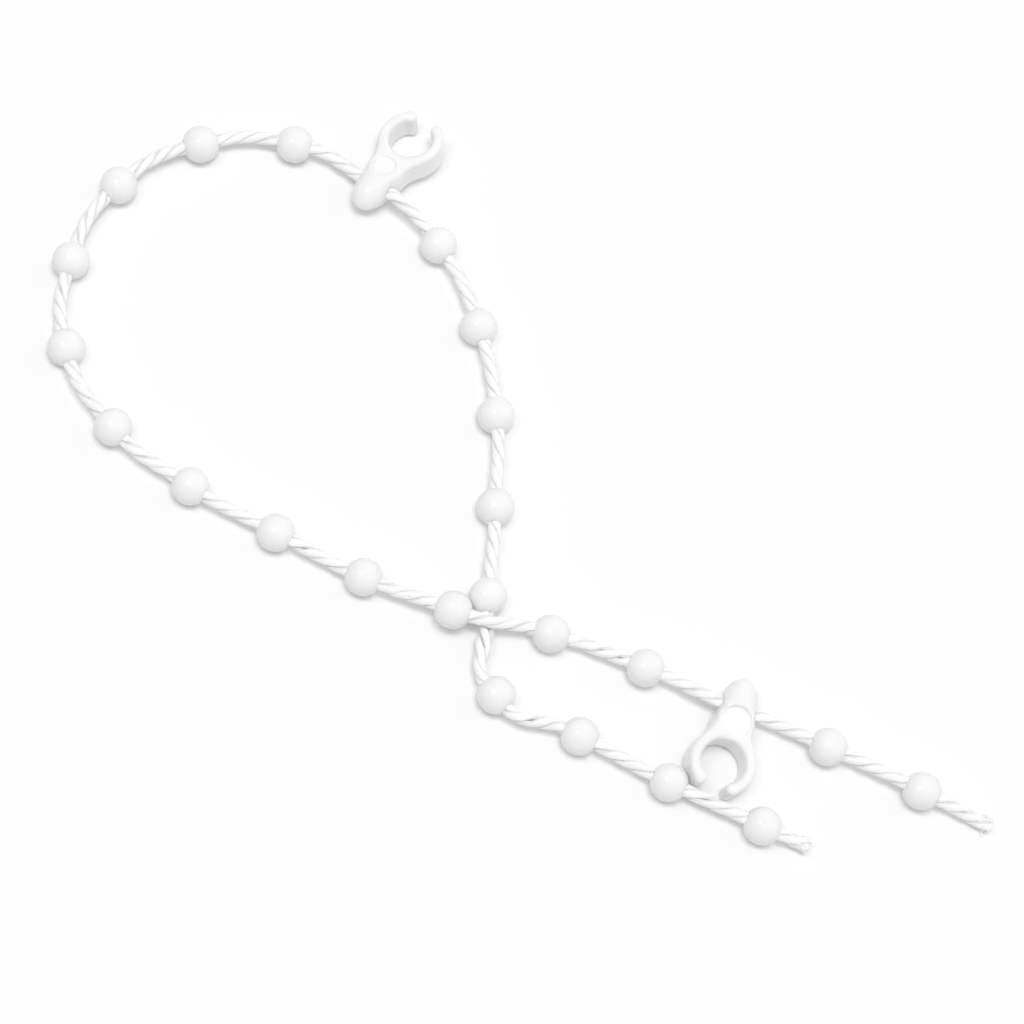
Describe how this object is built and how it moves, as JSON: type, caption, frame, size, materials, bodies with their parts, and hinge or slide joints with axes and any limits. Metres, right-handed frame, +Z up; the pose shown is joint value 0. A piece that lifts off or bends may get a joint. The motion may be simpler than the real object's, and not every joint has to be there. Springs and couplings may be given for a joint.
{
  "type": "vertical blind bottom chain",
  "caption": "Twisted cord with moulded round beads at an even pitch and C-shaped clips that grip the pegs of louvre weights, lying loose on a surface.",
  "frame": {"origin": "on the surface the chain lies on, below the middle of its outline", "axes": "+Z up from the surface, +X along the longest extent of the chain as it lies, from its looped end towards its two cut ends"},
  "size_m": [0.0851, 0.0729, 0.0041],
  "materials": {
    "cord": "twisted white polyester, slightly fuzzy",
    "bead": "white moulded plastic, satin to glossy",
    "clip": "white moulded plastic, satin to glossy"
  },
  "bodies": {
    "root": {"cord": "cord", "bead_01": "bead", "bead_02": "bead", "bead_03": "bead", "bead_04": "bead", "bead_05": "bead", "bead_06": "bead", "bead_07": "bead", "bead_08": "bead", "bead_09": "bead", "bead_10": "bead", "bead_11": "bead", "bead_12": "bead", "bead_13": "bead", "bead_14": "bead", "bead_15": "bead", "bead_16": "bead", "bead_17": "bead", "bead_18": "bead", "bead_19": "bead", "bead_20": "bead", "bead_21": "bead", "bead_22": "bead", "bead_23": "bead", "clip_1": "clip", "clip_2": "clip"}
  },
  "joints": []
}
